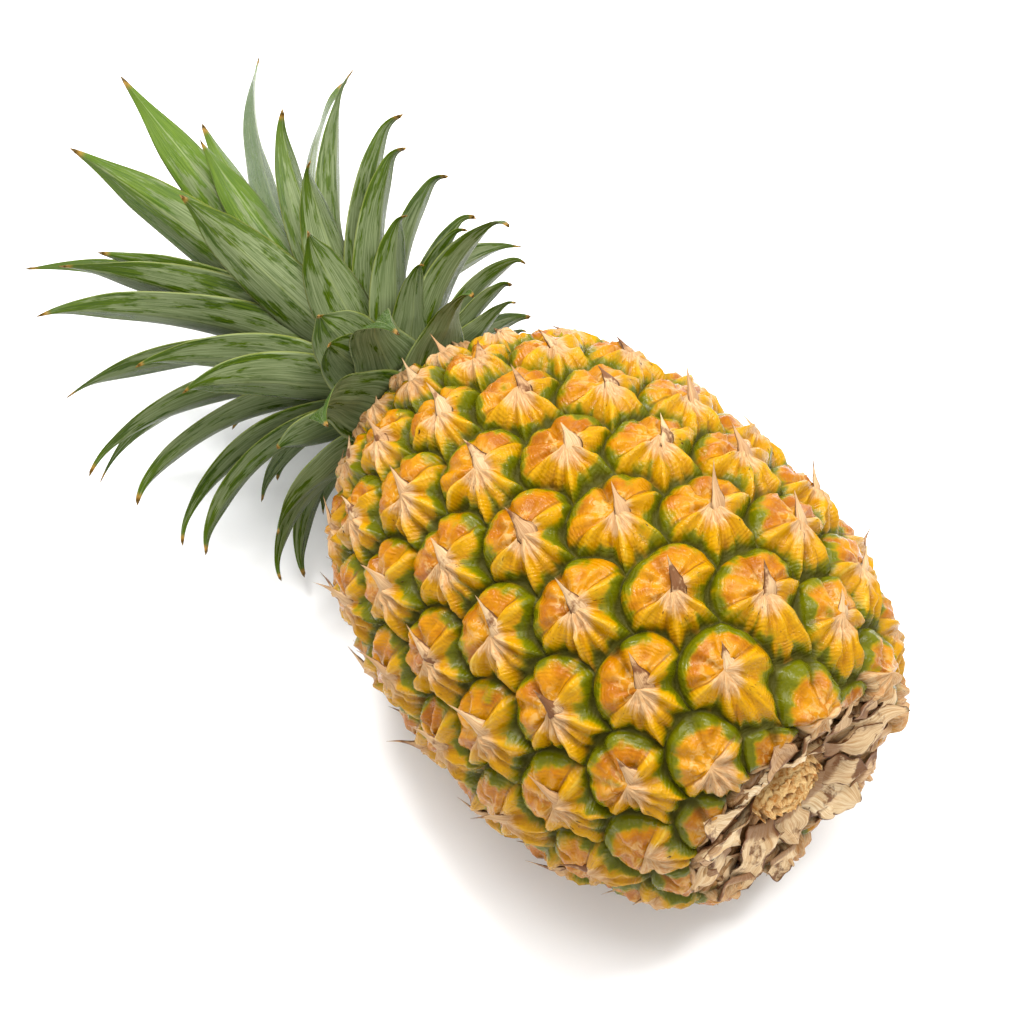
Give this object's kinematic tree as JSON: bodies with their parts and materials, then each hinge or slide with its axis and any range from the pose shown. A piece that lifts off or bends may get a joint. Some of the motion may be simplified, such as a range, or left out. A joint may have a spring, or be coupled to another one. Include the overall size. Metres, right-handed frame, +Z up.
{
  "type": "pineapple",
  "caption": "Whole pineapple lying on its side: barrel-shaped fruit with rows of spiny hexagonal eyes, cut stalk end, and a crown of pointed curved leaves.",
  "frame": {"origin": "on the surface the fruit rests on, straight below the middle of the fruit's axis, on the small flat where its lowest eyes are pressed", "axes": "+Z up; X runs along the fruit, +X towards the cut stalk end and -X towards the crown"},
  "size_m": [0.3239, 0.1542, 0.1238],
  "materials": {
    "skin": "waxy half-gloss, orange-yellow eyes with dark green rims and papery tan bracts",
    "leaf": "matt grey-green with a pale bloom and fine lengthwise striations",
    "stalk": "dry, fibrous cut end",
    "pith": "moist, pale green",
    "dry_bract": "dry, papery, torn"
  },
  "bodies": {
    "root": {"fruit": "skin", "cut_stem": "stalk", "crown_stem": "pith", "base_bract_01": "dry_bract", "base_bract_02": "dry_bract", "base_bract_03": "dry_bract", "base_bract_04": "dry_bract", "base_bract_05": "dry_bract", "crown_leaf_01": "leaf", "crown_leaf_02": "leaf", "crown_leaf_03": "leaf", "crown_leaf_04": "leaf", "crown_leaf_05": "leaf", "crown_leaf_06": "leaf", "crown_leaf_07": "leaf", "crown_leaf_08": "leaf", "crown_leaf_09": "leaf", "crown_leaf_10": "leaf", "crown_leaf_11": "leaf", "crown_leaf_12": "leaf", "crown_leaf_13": "leaf", "crown_leaf_14": "leaf", "crown_leaf_15": "leaf", "crown_leaf_16": "leaf", "crown_leaf_17": "leaf", "crown_leaf_18": "leaf", "crown_leaf_19": "leaf", "crown_leaf_20": "leaf", "crown_leaf_21": "leaf", "crown_leaf_22": "leaf", "crown_leaf_23": "leaf", "crown_leaf_24": "leaf", "crown_leaf_25": "leaf", "crown_leaf_26": "leaf", "crown_leaf_27": "leaf", "crown_leaf_28": "leaf", "crown_leaf_29": "leaf", "crown_leaf_30": "leaf", "crown_leaf_31": "leaf", "crown_leaf_32": "leaf", "crown_leaf_33": "leaf", "crown_leaf_34": "leaf", "crown_leaf_35": "leaf", "crown_leaf_36": "leaf", "crown_leaf_37": "leaf", "crown_leaf_38": "leaf", "crown_leaf_39": "leaf", "crown_leaf_40": "leaf", "crown_leaf_41": "leaf", "crown_leaf_42": "leaf", "crown_leaf_43": "leaf", "crown_leaf_44": "leaf", "crown_leaf_45": "leaf", "crown_leaf_46": "leaf", "crown_leaf_47": "leaf", "crown_leaf_48": "leaf", "crown_leaf_49": "leaf", "crown_leaf_50": "leaf", "crown_leaf_51": "leaf", "crown_leaf_52": "leaf"}
  },
  "joints": []
}
